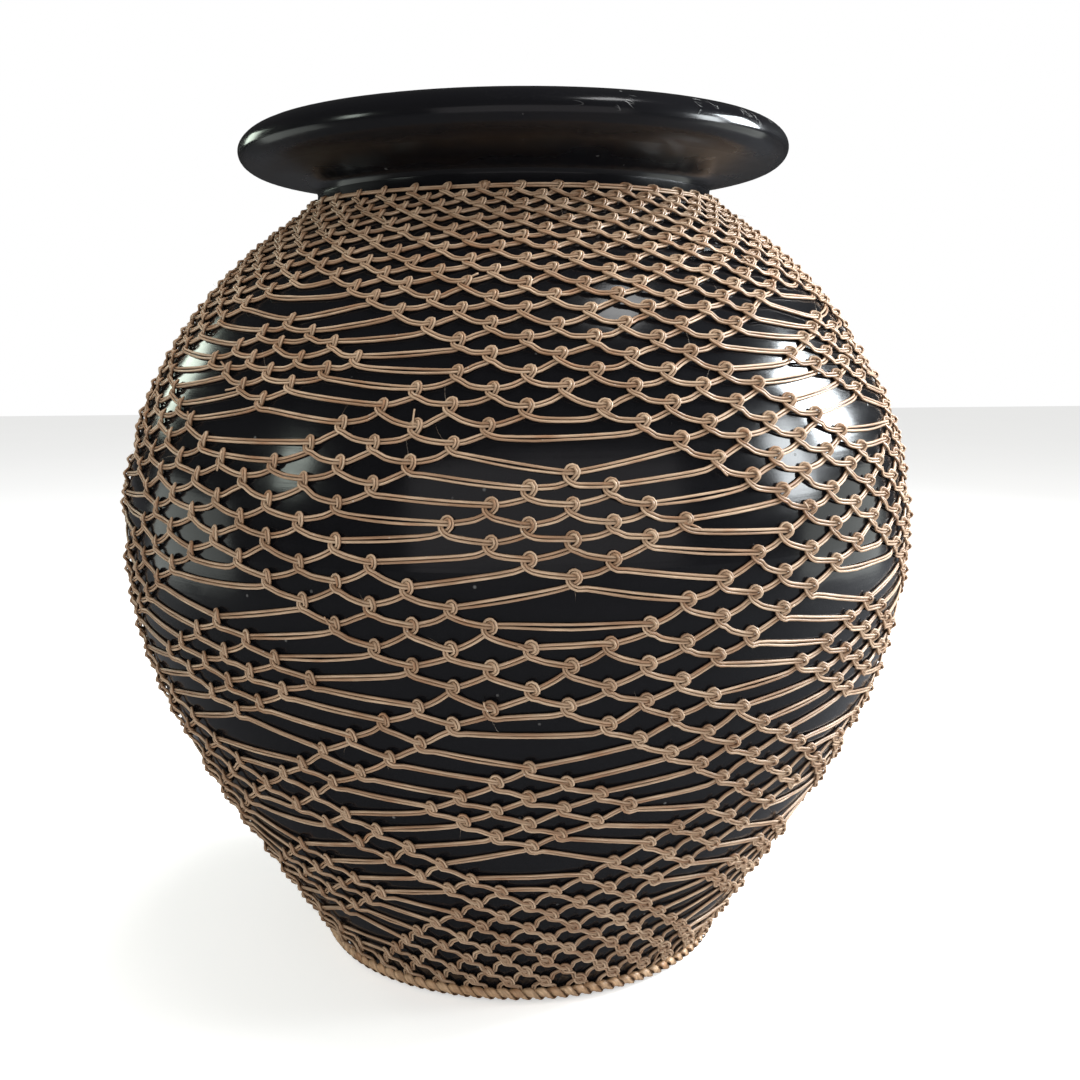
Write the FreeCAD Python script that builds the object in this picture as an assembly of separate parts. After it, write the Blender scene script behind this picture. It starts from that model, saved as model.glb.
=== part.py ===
"""Lacquered black clay storage pot in a knotted cane net. Units mm, +Z up, origin at the centre of the base."""
import FreeCAD
import Part
import math
import os

V = FreeCAD.Vector

# clay pot: radii of the outer skin and heights above the ground
BELLY_R = 231.0
BELLY_Z = 263.0
FOOT_R = 113.0
NECK_R = 116.0
LIP_OVERHANG = 46.0       # from the neck out to the edge of the lip
HEIGHT = 488.0
RIM_RISE = 37.0           # from the narrowest place of the neck up to the rim
LIP_DEPTH = 26.0
WALL = 9.0
FLOOR = 13.0
FOOT_ROUND = 3.0

# cane net
COURSES = 54
REPEATS = 4
KNOTS_PER_REPEAT = 10
STRAND_R = 1.0
HOOP_R = 1.5
HOOP_DROP = 8.0           # from the narrowest place of the neck down to its hoop
HOLLOW_DRAW = 0.9         # how much points lifted off the hollow neck draw together
HOLLOW_BULGE = 0.35       # how far a straight run across the hollow neck stands off it
CLEARANCE = 0.2
LIFT = 0.35               # gap under a strand, so that its straight runs clear the round clay
HOOK_PLAY = 0.9           # how much wider than its strand a hook is, to each side
PHASE = 1.5               # degrees from the front to the first knot of the even courses
SQUEEZE = 0.15            # how much an inner diamond is shorter than the bands beside it
GROWTH = 0.0047           # how fast the courses get deeper from neck to foot
UNEVEN_TURN = 0.25        # hand-made unevenness of a knot, degrees and mm
UNEVEN_DROP = 0.7
WINDOWS = ((10, -4), (19, 0), (27, -5), (34, 0), (41, -5))   # first course and column of each diamond window
WINDOW_ROWS = 11
DIAMOND = 4               # knots along each side of the inner diamond

# cane binding round the foot
FOOT_HOOP_R = 2.1
FOOT_HOOP_RISE = 0.6      # bare clay below the foot hoop
BORDER_RISE = 1.3
BORDER_T = 1.5
BORDER_H = 9.8

KNOTS = REPEATS * KNOTS_PER_REPEAT
PITCH = 360.0 / KNOTS
INNER = STRAND_R + LIFT                             # heights of the strand's centre above the clay
OUTER = INNER + 2 * STRAND_R + CLEARANCE
HALF_HOOK = STRAND_R + 0.75 * CLEARANCE             # half the distance between two hooked strands
HOOK = STRAND_R + HOOK_PLAY                         # half the flat of a hook


def bezier(poles, t):
    """Point on a Bezier curve by repeated blending of its poles."""
    rows = [list(p) for p in poles]
    while len(rows) > 1:
        rows = [[a + (b - a) * t for a, b in zip(p, q)] for p, q in zip(rows, rows[1:])]
    return rows[0]


def onward(a, b, length):
    """The point past b on the line from a, so that two curves meet without a corner."""
    d = math.hypot(b[0] - a[0], b[1] - a[1])
    return (b[0] + (b[0] - a[0]) * length / d, b[1] + (b[1] - a[1]) * length / d)


# ---- outline of the clay as (radius, height) poles, from the base up the outside and down the inside
NECK_Z = HEIGHT - RIM_RISE
LIP_R = NECK_R + LIP_OVERHANG
SHOULDER = (NECK_R + 23.0, NECK_Z - 24.0)
SKIN_START = (FOOT_R + 0.667 * FOOT_ROUND, FOOT_ROUND)
UPPER = SHOULDER[1] - BELLY_Z
LIP_Z = HEIGHT - LIP_DEPTH

lower_skin = [SKIN_START,
              (FOOT_R + 0.755 * (BELLY_R - FOOT_R), 0.499 * BELLY_Z),
              (BELLY_R, 0.682 * BELLY_Z),
              (BELLY_R, BELLY_Z)]
upper_skin = [(BELLY_R, BELLY_Z),
              (BELLY_R, BELLY_Z + 0.384 * UPPER),
              (SHOULDER[0] + 0.574 * (BELLY_R - SHOULDER[0]), BELLY_Z + 0.769 * UPPER),
              SHOULDER]
neck_skin = [SHOULDER, onward(upper_skin[2], SHOULDER, 14.0), (NECK_R, NECK_Z - 9.0), (NECK_R, NECK_Z)]
flare = [(NECK_R, NECK_Z), (NECK_R, NECK_Z + 7.0), (NECK_R + 10.0, LIP_Z - 3.0), (LIP_R - 15.0, LIP_Z + 1.0)]
nose = [flare[3], onward(flare[2], flare[3], 17.0), (LIP_R + 3.5, HEIGHT - 9.0), (LIP_R - 9.0, HEIGHT - 2.5)]
crown = [nose[3], onward(nose[2], nose[3], 7.0), (LIP_R - 23.0, HEIGHT + 0.8), (LIP_R - 29.0, HEIGHT - 3.0)]

BORE_R = NECK_R - WALL - 1.0
INNER_SHOULDER = (SHOULDER[0] - 0.7 * WALL, SHOULDER[1] - 0.7 * WALL)
throat = [crown[3], onward(crown[2], crown[3], 10.0), (BORE_R, NECK_Z + 17.0), (BORE_R, NECK_Z + 1.0)]
inner_upper = [INNER_SHOULDER,
               (upper_skin[2][0] - 0.7 * WALL, upper_skin[2][1] - 0.7 * WALL),
               (BELLY_R - WALL, upper_skin[1][1]),
               (BELLY_R - WALL, BELLY_Z)]
inner_neck = [throat[3], (BORE_R, NECK_Z - 10.0), onward(inner_upper[1], INNER_SHOULDER, 12.0), INNER_SHOULDER]
inner_lower = [(BELLY_R - WALL, BELLY_Z),
               (BELLY_R - WALL, 0.682 * BELLY_Z),
               (lower_skin[1][0] - 0.72 * WALL, lower_skin[1][1]),
               (FOOT_R + 8.0 - WALL, FLOOR + 8.0)]
inner_heel = [inner_lower[3], (FOOT_R - 6.0, FLOOR), (FOOT_R - 14.0, FLOOR)]


def vessel():
    """One fired clay wall from the base to the rolled lip and back down the inside."""
    def at(p):
        return V(p[0], 0, p[1])

    def curve(poles):
        c = Part.BezierCurve()
        c.setPoles([at(p) for p in poles])
        return c.toShape()

    base_end = (FOOT_R - FOOT_ROUND, 0.0)
    edges = [Part.makeLine(V(0, 0, 0), at(base_end)), curve([base_end, (FOOT_R, 0.0), SKIN_START])]
    edges += [curve(c) for c in (lower_skin, upper_skin, neck_skin, flare, nose, crown, throat,
                                 inner_neck, inner_upper, inner_lower, inner_heel)]
    edges += [Part.makeLine(at(inner_heel[2]), V(0, 0, FLOOR)), Part.makeLine(V(0, 0, FLOOR), V(0, 0, 0))]
    return Part.Face(Part.Wire(edges)).revolve(V(0, 0, 0), V(0, 0, 1), 360)


# ---- the skin that the net lies on, walked by distance up from the foot
STEPS = 160


def walk_skin():
    """(distance, radius, height) along the outside from the foot to the top of the neck."""
    points = [bezier(c, i / STEPS) for c in (lower_skin, upper_skin, neck_skin) for i in range(STEPS + 1)]
    rows = [(0.0,) + tuple(points[0])]
    for p in points[1:]:
        d = math.hypot(p[0] - rows[-1][1], p[1] - rows[-1][2])
        if d > 1e-6:
            rows.append((rows[-1][0] + d,) + tuple(p))
    return rows


SKIN = walk_skin()


def skin_at(s):
    """Radius, height and outward normal of the clay at distance s up from the foot."""
    low, high = 0, len(SKIN) - 1
    while high - low > 1:
        mid = (low + high) // 2
        if SKIN[mid][0] <= s:
            low = mid
        else:
            high = mid
    (s0, r0, z0), (s1, r1, z1) = SKIN[low], SKIN[high]
    f, d = (s - s0) / (s1 - s0), s1 - s0
    return r0 + (r1 - r0) * f, z0 + (z1 - z0) * f, (z1 - z0) / d, (r0 - r1) / d


def over_skin(turn, s, lift):
    """Point at an angle in degrees from the front (-Y), a distance up the skin and a height above it."""
    r, z, nr, nz = skin_at(s)
    a = math.radians(turn)
    r += lift * nr
    return V(r * math.sin(a), -r * math.cos(a), z + lift * nz)


def distance_at_height(z):
    return next(s for s, r, h in SKIN if h >= z)


HOOP_S = distance_at_height(NECK_Z - HOOP_DROP)
FOOT_HOOP_S = FOOT_HOOP_R + FOOT_HOOP_RISE
LAST_S = FOOT_HOOP_S + FOOT_HOOP_R + STRAND_R + CLEARANCE + HALF_HOOK
HOOP_LIFT = HOOP_R + 2 * STRAND_R + 2 * CLEARANCE + HOLLOW_BULGE
HOOP_REACH = HOOP_R + STRAND_R + CLEARANCE
HOOP_SPAN = HOOP_REACH + HOLLOW_DRAW


# ---- where the knots are
def course_s(k):
    """Level of a course: the courses get steadily deeper from the neck hoop down to the foot."""
    depth = (k + GROWTH * k * k) / (COURSES + GROWTH * COURSES ** 2)
    return HOOP_S - (HOOP_S - LAST_S) * depth


def window_state(k, x):
    """Whether place x of course k is open, and how far its knot moves up to keep an inner diamond short."""
    for first, column in WINDOWS:
        row = k - first
        if 0 <= row < WINDOW_ROWS:
            centre = column + 0.5 * (first % 2)
            off = abs((x - centre + KNOTS_PER_REPEAT / 2) % KNOTS_PER_REPEAT - KNOTS_PER_REPEAT / 2)
            middle = (WINDOW_ROWS - 1) / 2
            knots = DIAMOND - abs(row - middle)
            if off < 1 + 0.5 * min(row, WINDOW_ROWS - 1 - row) - 0.1:
                if knots < 1 or off > (knots - 1) / 2 + 0.1:
                    return True, 0.0
                return False, SQUEEZE * (row - middle)
    return False, 0.0


def knots_of(k):
    """Knots of a course as (place, turn in degrees, distance up the skin)."""
    found = []
    for i in range(KNOTS):
        x = i + 0.5 * (k % 2)
        is_open, squeeze = window_state(k, x)
        if is_open:
            continue
        turn = PHASE + PITCH * x + UNEVEN_TURN * math.sin(1.7 * k * k + 2.9 * i)
        s = course_s(k) + squeeze * (course_s(k) - course_s(k + 1))
        if 0 < k < COURSES:
            s += UNEVEN_DROP * math.sin(2.3 * k + 1.3 * i * i)
        found.append((x, turn, s))
    return found


ROWS = [knots_of(k) for k in range(COURSES + 1)]


def hook(turn, s, left, right):
    """The two ends of the flat of a hook, as (turn, distance, height above the clay)."""
    half = math.degrees(HOOK / skin_at(s)[0])
    return [(turn - half, s, left), (turn + half, s, right)]


def course_stations(k):
    """The corners of one course all the way round: it hooks over each of its knots and, between
    them, hangs down to carry the knots of the course below. Rising runs lie outside and falling
    runs lie next to the clay, so each course is linked through the one above it."""
    mine, below = ROWS[k], ROWS[k + 1]
    stations = []
    for n, (x, turn, s) in enumerate(mine):
        if k == 0:
            outside, inside = HOOP_LIFT + HOOP_REACH, HOOP_LIFT - HOOP_REACH - HOLLOW_BULGE
            top = hook(turn, s + HOOP_SPAN, outside, inside)
            low = hook(turn, s - HOOP_SPAN, outside, inside)
            stations += [low[0]] + top + [low[1]]
        else:
            stations += hook(turn, s + HALF_HOOK, OUTER, INNER)
        x_next = mine[(n + 1) % len(mine)][0] + (KNOTS if n + 1 == len(mine) else 0)
        hanging = sorted((y + wrap, t + 360.0 * (wrap > 0), d) for y, t, d in below for wrap in (0, KNOTS)
                         if x < y + wrap < x_next)
        for _, t, d in hanging:
            stations += hook(t, d - HALF_HOOK, INNER, OUTER)
    return stations


def course_path(k):
    """Corners of the course in space, from one cut end on top of its first hook round to the other."""
    stations = course_stations(k)
    start = 1 if k == 0 else 0
    (t0, s0, n0), (t1, s1, n1) = stations[start], stations[start + 1]
    ends = [(t0 + (t1 - t0) * f, s0, n0 + (n1 - n0) * f) for f in (0.62, 0.38)]
    lap = [ends[0]] + stations[start + 1:] + [(t + 360.0, s, n) for t, s, n in stations[:start + 1]]
    lap.append((ends[1][0] + 360.0, ends[1][1], ends[1][2]))
    points = [over_skin(*lap[0])]
    for (ta, sa, na), (tb, sb, nb) in zip(lap, lap[1:]):
        pieces = max(1, math.ceil((tb - ta) / 3.6)) if tb - ta > 4.0 else 1
        for j in range(1, pieces + 1):
            f = j / pieces
            g = min(max((f - 0.34) / 0.32, 0.0), 1.0)
            points.append(over_skin(ta + (tb - ta) * f, sa + (sb - sa) * f, na + (nb - na) * g))
    return points


def mitre_rings(points, radius):
    """The outline of a round strand at each corner of its path: an ellipse in the plane that halves
    the bend. Each starts on the line along the strand from the start of the one before."""
    along = [(b - a).normalize() for a, b in zip(points, points[1:])]
    rings, start = [], None
    for i, p in enumerate(points):
        d0, d1 = along[max(i - 1, 0)], along[min(i, len(along) - 1)]
        normal = (d0 + d1).normalize()
        side = d0.cross(d1)
        if side.Length < 1e-6:
            side = normal.cross(V(0, 0, 1) if abs(normal.z) < 0.9 else V(1, 0, 0))
        major = side.normalize().cross(normal).normalize()
        minor = normal.cross(major)
        longest = max(radius / d0.dot(normal), radius * 1.0000001)
        start = major * longest if start is None else start - d0 * (start.dot(normal) / d0.dot(normal))
        first = math.atan2(start.dot(minor) / radius, start.dot(major) / longest)
        ellipse = Part.Ellipse(p + major * longest, p + minor * radius, p)
        rings.append(ellipse.toShape(first, first + 2 * math.pi))
    return rings


def strand(points, radius):
    """A round strand bent at each corner of its path, with flat cut ends."""
    rings = mitre_rings(points, radius)
    faces = [Part.makeRuledSurface(a, b) for a, b in zip(rings, rings[1:])]
    faces += [Part.Face(Part.Wire([end])) for end in (rings[0], rings[-1])]
    return Part.Solid(Part.Shell(faces))


def ring(s, lift, tube):
    """A closed round hoop that goes round the skin."""
    p = over_skin(90.0, s, lift)
    return Part.makeTorus(p.x, tube, V(0, 0, p.z), V(0, 0, 1))


def border():
    """The flat splint border that covers the foot hoop and the hanging hooks of the last course."""
    inside = max(OUTER + STRAND_R, CLEARANCE + 2 * FOOT_HOOP_R) + CLEARANCE
    low, high = BORDER_RISE, BORDER_RISE + BORDER_H
    corners = [(low, inside), (low, inside + BORDER_T), (high, inside + BORDER_T), (high, inside)]
    points = [over_skin(90.0, a, lift) for a, lift in corners]
    return Part.Face(Part.makePolygon(points + points[:1])).revolve(V(0, 0, 0), V(0, 0, 1), 360)


def main():
    os.makedirs("parts", exist_ok=True)
    shapes = {
        "clay_vessel": vessel(),
        "neck_hoop": ring(HOOP_S, HOOP_LIFT, HOOP_R),
        "foot_hoop": ring(FOOT_HOOP_S, FOOT_HOOP_R + CLEARANCE, FOOT_HOOP_R),
        "foot_border": border(),
    }
    for k in range(COURSES):
        shapes["net_course_%02d" % (k + 1)] = strand(course_path(k), STRAND_R)
    for node, shape in shapes.items():
        if not shape.isValid() or shape.ShapeType == "Shell":
            raise ValueError(node + " is not a closed solid")
        shape.exportStep("parts/" + node + ".step")


main()
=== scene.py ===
"""Black lacquered clay storage pot in a knotted cane net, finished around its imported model.

Everything is in metres in the model's own frame: +Z up, -Y the front, the origin at the centre of the base.
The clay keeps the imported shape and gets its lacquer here. The net, its hoop and the border are worked again
in full: each course is a pair of split canes that runs all the way round and is tied into the course above by
half hitches.
"""
import logging
import math
from dataclasses import dataclass, field
from enum import Enum
from typing import Optional, Union

import bpy
import numpy as np
from mathutils import Matrix, Vector


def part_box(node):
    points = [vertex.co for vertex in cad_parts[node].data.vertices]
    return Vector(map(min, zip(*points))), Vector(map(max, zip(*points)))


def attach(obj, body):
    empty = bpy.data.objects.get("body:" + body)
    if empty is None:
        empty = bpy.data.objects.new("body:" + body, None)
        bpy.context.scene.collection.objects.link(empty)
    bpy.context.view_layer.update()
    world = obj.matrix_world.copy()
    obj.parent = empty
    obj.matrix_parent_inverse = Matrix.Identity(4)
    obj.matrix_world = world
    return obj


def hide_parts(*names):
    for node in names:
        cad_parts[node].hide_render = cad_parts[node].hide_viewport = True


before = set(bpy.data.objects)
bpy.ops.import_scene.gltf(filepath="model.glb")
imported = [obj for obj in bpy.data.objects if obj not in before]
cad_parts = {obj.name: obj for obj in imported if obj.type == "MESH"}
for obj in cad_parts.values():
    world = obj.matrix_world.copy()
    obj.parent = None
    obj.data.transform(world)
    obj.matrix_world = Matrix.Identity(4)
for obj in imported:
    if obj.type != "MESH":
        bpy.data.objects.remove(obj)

Socket = bpy.types.NodeSocket
Colour = tuple[float, float, float, float]
log = logging.getLogger("netted_pot")

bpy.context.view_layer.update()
MM = 0.001
# what turns a control row's angle, distance and height into mm, the angle on a circle of the belly's size
ROW_LENGTHS = np.array([200.0 * math.pi / 180, 1e3, 1e3])
LEAST_GAP = 0.05


class Slot(Enum):
    """Names of the clay's and the cane's material slots; only the clay's is used, in the log."""

    CLAY = "black_clay"
    CANE = "cane"


# ---------------------------------------------------------------- surfaces


@dataclass
class Surface:
    """Points with their shades, and faces with their corners' grain coordinates, before they are a mesh."""

    points: np.ndarray
    quads: np.ndarray
    quad_grain: np.ndarray
    shade: np.ndarray
    fans: np.ndarray = field(default_factory=lambda: np.zeros((0, 3), int))
    fan_grain: np.ndarray = field(default_factory=lambda: np.zeros((0, 3, 2)))


def join(parts: list[Surface]) -> Surface:
    """Puts several surfaces into one, numbering their points on from each other.

    Args:
        parts: the surfaces to join.

    Returns:
        One surface that holds them all.
    """
    starts = np.cumsum([0] + [len(p.points) for p in parts[:-1]])
    return Surface(
        points=np.concatenate([p.points for p in parts]),
        quads=np.concatenate([p.quads + n for p, n in zip(parts, starts)]),
        quad_grain=np.concatenate([p.quad_grain for p in parts]),
        shade=np.concatenate([p.shade for p in parts]),
        fans=np.concatenate([p.fans + n for p, n in zip(parts, starts)]),
        fan_grain=np.concatenate([p.fan_grain for p in parts]),
    )


def sweep(centres: np.ndarray, side: np.ndarray, up: np.ndarray, section: np.ndarray, shade: np.ndarray,
          closed: bool, start: float = 0.0) -> Surface:
    """Carries a closed section along a path.

    A point of the skin is the path's centre plus its section's first number times the side vector and its
    second number times the up vector. Side, up and the way along the path are right-handed, so faces point
    outwards. The grain coordinates are the length along the path and the share of the way round the section.

    Args:
        centres: the path, one row a station.
        side: unit vectors across the path, one a station.
        up: unit vectors away from the clay, one a station.
        section: outline of the section as stations x corners x 2, or corners x 2 for the same one everywhere.
        shade: a value from 0 to 1 for each station.
        closed: whether the path ends where it starts. Otherwise both ends are closed by a fan.
        start: length that the grain starts from.

    Returns:
        The swept surface.
    """
    count = len(centres)
    section = np.broadcast_to(section, (count,) + section.shape[-2:])
    corners = section.shape[1]
    rings = centres[:, None] + section[..., :1] * side[:, None] + section[..., 1:] * up[:, None]
    steps = np.linalg.norm(np.diff(centres, axis=0, append=centres[:1]), axis=1)
    lengths = start + np.concatenate([[0.0], np.cumsum(steps)])
    rows = count if closed else count - 1
    i, j = np.meshgrid(np.arange(rows), np.arange(corners), indexing="ij")
    after, beside = (i + 1) % count, (j + 1) % corners
    here, there = i * corners, after * corners
    quads = np.stack([here + j, here + beside, there + beside, there + j], -1)
    along = np.stack([lengths[i], lengths[i], lengths[i + 1], lengths[i + 1]], -1)
    around = np.stack([j, j + 1, j + 1, j], -1) / corners
    grain = np.stack([along, around], -1).reshape(-1, 4, 2)
    surface = Surface(rings.reshape(-1, 3), quads.reshape(-1, 4), grain, np.repeat(shade, corners))
    if not closed:
        n, ring = np.arange(corners), np.roll(np.arange(corners), -1)
        last = (count - 1) * corners
        poles = count * corners + np.array([0, 1])
        surface.points = np.concatenate([surface.points, centres[[0, -1]]])
        surface.shade = np.concatenate([surface.shade, shade[[0, -1]]])
        first_fan = np.stack([ring, n, np.full(corners, poles[0])], -1)
        last_fan = np.stack([last + n, last + ring, np.full(corners, poles[1])], -1)
        surface.fans = np.concatenate([first_fan, last_fan])
        surface.fan_grain = np.zeros((2 * corners, 3, 2)) + np.array([start, 0.5])
    return surface


def round_section(radius: Union[float, np.ndarray], corners: int) -> np.ndarray:
    """Outline of a round cane: equal turns round a circle.

    Args:
        radius: the cane's radius, or one radius for each station.
        corners: how many corners the outline has.

    Returns:
        Corners x 2, or stations x corners x 2.
    """
    turn = np.arange(corners) * 2 * np.pi / corners
    ring = np.stack([np.cos(turn), np.sin(turn)], -1)
    return ring * np.asarray(radius)[..., None, None]


def frames_round(centres: np.ndarray, out: np.ndarray) -> tuple[np.ndarray, np.ndarray]:
    """Side and up vectors along a closed path, whose way ahead at a station is from its one neighbour to the
    other.

    Args:
        centres: the path, one row a station.
        out: a vector at each station that points away from what the path goes round.

    Returns:
        The side vectors and the up vectors.
    """
    return frames(np.roll(centres, -1, axis=0) - np.roll(centres, 1, axis=0), out)


def frames(ahead: np.ndarray, out: np.ndarray) -> tuple[np.ndarray, np.ndarray]:
    """Side and up vectors along a path: the side is square to the way ahead and to a vector that points out,
    and up is square to the way ahead and to the side.

    Args:
        ahead: the way ahead at each station, of any length.
        out: a vector at each station that points out.

    Returns:
        The side vectors and the up vectors.
    """
    ahead = ahead / np.linalg.norm(ahead, axis=1, keepdims=True)
    side = np.cross(out, ahead)
    side /= np.linalg.norm(side, axis=1, keepdims=True)
    return side, np.cross(ahead, side)


def make_piece(name: str, surface: Surface, material: bpy.types.Material) -> bpy.types.Object:
    """Makes one named piece of the object from a surface and lets it ride on the pot.

    Args:
        name: name of the piece.
        surface: its skin.
        material: its finish.

    Returns:
        The new object, at the origin, with its place in its mesh.
    """
    mesh = bpy.data.meshes.new(name)
    mesh.from_pydata(surface.points.tolist(), [], surface.quads.tolist() + surface.fans.tolist())
    grain = mesh.uv_layers.new(name="grain")
    corners = np.concatenate([surface.quad_grain.reshape(-1, 2), surface.fan_grain.reshape(-1, 2)])
    grain.data.foreach_set("uv", corners.astype(np.float32).ravel())
    shade = mesh.attributes.new("shade", "FLOAT", "POINT")
    shade.data.foreach_set("value", surface.shade.astype(np.float32))
    mesh.shade_smooth()
    mesh.materials.append(material)
    piece = bpy.data.objects.new(name, mesh)
    bpy.context.scene.collection.objects.link(piece)
    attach(piece, "root")
    log.info("%s: %d points, %d faces", name, len(surface.points), len(mesh.polygons))
    return piece


def flowing_line(rows: np.ndarray, cuts: np.ndarray) -> np.ndarray:
    """Smooth line through control rows: cubic pieces whose slope at a row is the mean slope of its two sides,
    weighed by their lengths, so that short and long stretches meet without a swing. The length that counts is
    the square root of the true one in mm.

    Args:
        rows: control rows. The first and last are only there for the slopes.
        cuts: how many stations each stretch between the inner rows gets.

    Returns:
        One row for each station, without the very last.
    """
    gaps = np.sqrt(np.linalg.norm(np.diff(rows[:, :3], axis=0) * ROW_LENGTHS, axis=1))
    gaps = np.maximum(gaps, LEAST_GAP)[:, None]
    slopes = np.diff(rows, axis=0) / gaps
    before, after = gaps[:-1], gaps[1:]
    tangents = (slopes[:-1] * after + slopes[1:] * before) / (before + after)
    piece = np.repeat(np.arange(len(cuts)), cuts)
    t = ((np.arange(cuts.sum()) - np.repeat(np.cumsum(cuts) - cuts, cuts)) / cuts[piece])[:, None]
    a, b, width = rows[1:-1][piece], rows[2:][piece], after[piece]
    leave, arrive = tangents[piece] * width, tangents[np.minimum(piece + 1, len(tangents) - 1)] * width
    return ((2 * t**3 - 3 * t**2 + 1) * a + (t**3 - 2 * t**2 + t) * leave
            + (3 * t**2 - 2 * t**3) * b + (t**3 - t**2) * arrive)


# ---------------------------------------------------------------- the clay's outline and the net's rule


def bezier(poles: np.ndarray, count: int) -> np.ndarray:
    """Points of a Bezier curve, by repeated blending of neighbouring poles.

    Args:
        poles: the curve's poles, radius and height.
        count: how many points to give.

    Returns:
        Count x 2 points.
    """
    t = np.linspace(0.0, 1.0, count)[:, None]
    rows = [np.broadcast_to(p, (count, 2)) for p in np.asarray(poles, float)]
    while len(rows) > 1:
        rows = [a + (b - a) * t for a, b in zip(rows, rows[1:])]
    return rows[0]


@dataclass
class ClaySkin:
    """Outside of the clay from the foot to the neck, walked by distance."""

    belly_r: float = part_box("clay_vessel")[1][0]
    belly_z: float = 263.0 * MM
    foot_r: float = 113.0 * MM
    foot_round: float = 3.0 * MM
    neck_r: float = 116.0 * MM
    neck_z: float = 451.0 * MM
    shoulder_out: float = 23.0 * MM
    shoulder_drop: float = 24.0 * MM
    shoulder_run: float = 14.0 * MM
    neck_drop: float = 9.0 * MM
    # where the belly's two curves are drawn to: a share of the way out, and two shares of the way up
    lower_pull: tuple[float, float, float] = (0.755, 0.499, 0.682)
    upper_pull: tuple[float, float, float] = (0.574, 0.769, 0.384)
    steps: int = 161

    def __post_init__(self) -> None:
        """Walks the outline and keeps distance, radius, height and outward normal."""
        shoulder = np.array([self.neck_r + self.shoulder_out, self.neck_z - self.shoulder_drop])
        upper = shoulder[1] - self.belly_z
        out, low, steep = self.lower_pull
        lower_skin = [(self.foot_r + 0.667 * self.foot_round, self.foot_round),
                      (self.foot_r + out * (self.belly_r - self.foot_r), low * self.belly_z),
                      (self.belly_r, steep * self.belly_z),
                      (self.belly_r, self.belly_z)]
        out, high, steep = self.upper_pull
        upper_skin = [(self.belly_r, self.belly_z),
                      (self.belly_r, self.belly_z + steep * upper),
                      (shoulder[0] + out * (self.belly_r - shoulder[0]), self.belly_z + high * upper),
                      shoulder]
        fall = shoulder - np.array(upper_skin[2])
        neck_skin = [shoulder, shoulder + fall * self.shoulder_run / np.linalg.norm(fall),
                     (self.neck_r, self.neck_z - self.neck_drop), (self.neck_r, self.neck_z)]
        walk = np.concatenate([bezier(lower_skin, self.steps), bezier(upper_skin, self.steps)[1:],
                               bezier(neck_skin, self.steps)[1:]])
        self.r, self.z = walk[:, 0], walk[:, 1]
        self.s = np.concatenate([[0.0], np.cumsum(np.linalg.norm(np.diff(walk, axis=0), axis=1))])
        self.out, self.rise = np.gradient(self.z, self.s), -np.gradient(self.r, self.s)

    def distance_at(self, height: float) -> float:
        """Distance up the skin at a height."""
        return float(np.interp(height, self.z, self.s))

    def radius_at(self, s: Union[float, np.ndarray]) -> np.ndarray:
        """Radius of the clay at a distance up the skin."""
        return np.interp(s, self.s, self.r)

    def normal(self, turn: np.ndarray, s: np.ndarray) -> np.ndarray:
        """Outward unit vectors of the clay.

        Args:
            turn: angles from the front in degrees.
            s: distances up the skin.

        Returns:
            One vector for each angle.
        """
        a = np.radians(turn)
        out, rise = np.interp(s, self.s, self.out), np.interp(s, self.s, self.rise)
        return np.stack([out * np.sin(a), -out * np.cos(a), rise], -1)

    def place(self, turn: np.ndarray, s: np.ndarray, lift: np.ndarray) -> np.ndarray:
        """Points above the clay: the skin's point at an angle and distance, moved out along its normal.

        Args:
            turn: angles from the front in degrees.
            s: distances up the skin.
            lift: heights above it.

        Returns:
            One point for each angle.
        """
        a = np.radians(turn)
        r, z = np.interp(s, self.s, self.r), np.interp(s, self.s, self.z)
        foot = np.stack([r * np.sin(a), -r * np.cos(a), z], -1)
        return foot + self.normal(turn, s) * np.asarray(lift)[..., None]


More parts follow.
